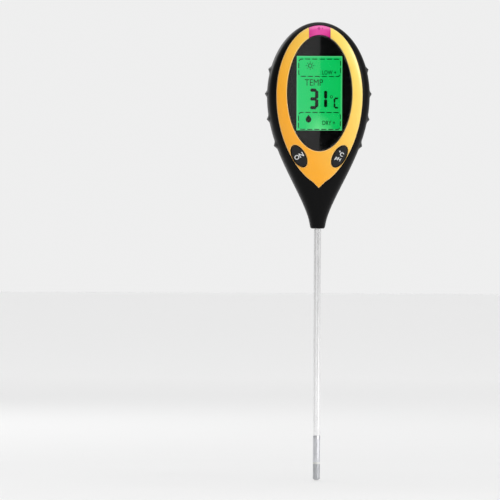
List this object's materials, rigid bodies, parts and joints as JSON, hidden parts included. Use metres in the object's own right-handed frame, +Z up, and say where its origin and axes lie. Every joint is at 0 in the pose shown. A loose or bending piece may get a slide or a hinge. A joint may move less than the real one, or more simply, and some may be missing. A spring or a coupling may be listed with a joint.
{
  "type": "soil moisture meter",
  "caption": "Hand-held soil meter: teardrop head with a display, light window and two keys on a straight metal probe.",
  "frame": {"origin": "on the probe's axis, at the end face of the head's neck, where the probe comes out", "axes": "+Z up the probe towards the top of the head, -Y out of the display, +X to the reader's right"},
  "size_m": [0.0622, 0.0323, 0.265],
  "materials": {
    "case": "satin black ABS, fine moulded grain",
    "bezel": "amber moulded plastic, semi-gloss",
    "window": "translucent pink filter",
    "lens": "clear acrylic over black print",
    "print": "black printed border",
    "display": "green backlit liquid crystal panel with dark segments",
    "white_plastic": "white moulded plastic",
    "light_guide": "frosted acrylic",
    "zebra_strip": "layered conductive rubber",
    "circuit_board": "green solder mask on glass epoxy",
    "resin": "black resin",
    "sensor_glass": "clear epoxy",
    "key": "dark grey moulded key with white print",
    "screw": "zinc-plated steel",
    "battery_can": "printed steel jacket",
    "battery_stud": "nickel-plated",
    "snap_vinyl": "black vinyl over hard board",
    "red_wire": "red insulated stranded wire",
    "black_wire": "black insulated stranded wire",
    "probe_tube": "polished stainless tube",
    "upper_electrode": "fine-blasted zinc alloy",
    "insulator": "off-white washer",
    "tip_electrode": "dull grey metal, rounded end",
    "seal_rubber": "black O-ring"
  },
  "bodies": {
    "housing": {"front_case": "case", "rear_case": "case", "bezel": "bezel", "light_window": "window", "display_lens": "lens", "display_mask": "print", "lcd_panel": "display", "lcd_tray": "white_plastic", "backlight_guide": "light_guide", "backlight_led": "white_plastic", "lcd_contact_upper": "zebra_strip", "lcd_contact_lower": "zebra_strip", "main_board": "circuit_board", "processor": "resin", "capacitor": "resin", "light_sensor": "sensor_glass", "power_switch": "resin", "mode_switch": "resin", "case_screw_1": "screw", "case_screw_2": "screw", "case_screw_3": "screw", "case_screw_4": "screw", "case_screw_5": "screw", "board_screw_1": "screw", "board_screw_2": "screw", "board_screw_3": "screw", "board_screw_4": "screw", "battery_body": "battery_can", "battery_positive_stud": "battery_stud", "battery_negative_stud": "battery_stud", "battery_snap": "snap_vinyl", "battery_lead_red": "red_wire", "battery_lead_black": "black_wire", "probe_tube": "probe_tube", "upper_electrode": "upper_electrode", "electrode_insulator": "insulator", "tip_electrode": "tip_electrode", "temperature_sensor": "resin", "probe_collar": "white_plastic", "probe_seal": "seal_rubber", "sensor_lead": "red_wire", "tube_lead": "black_wire"},
    "power_key": {"power_button": "key", "power_switch_plunger": "white_plastic"},
    "mode_key": {"mode_button": "key", "mode_switch_plunger": "white_plastic"},
    "door": {"battery_door": "case"}
  },
  "joints": [
    {"name": "power_press", "type": "slide", "parent": "housing", "child": "power_key", "axis": [0, 1, 0], "range_m": [0, 0.0005], "stiffness_N_per_m": 400},
    {"name": "mode_press", "type": "slide", "parent": "housing", "child": "mode_key", "axis": [0, 1, 0], "range_m": [0, 0.0005], "stiffness_N_per_m": 400},
    {"name": "door_hinge", "type": "hinge", "parent": "housing", "child": "door", "pos_m": [0, 0.017, 0.0996], "axis": [1, 0, 0], "range_deg": [0, 45]}
  ]
}
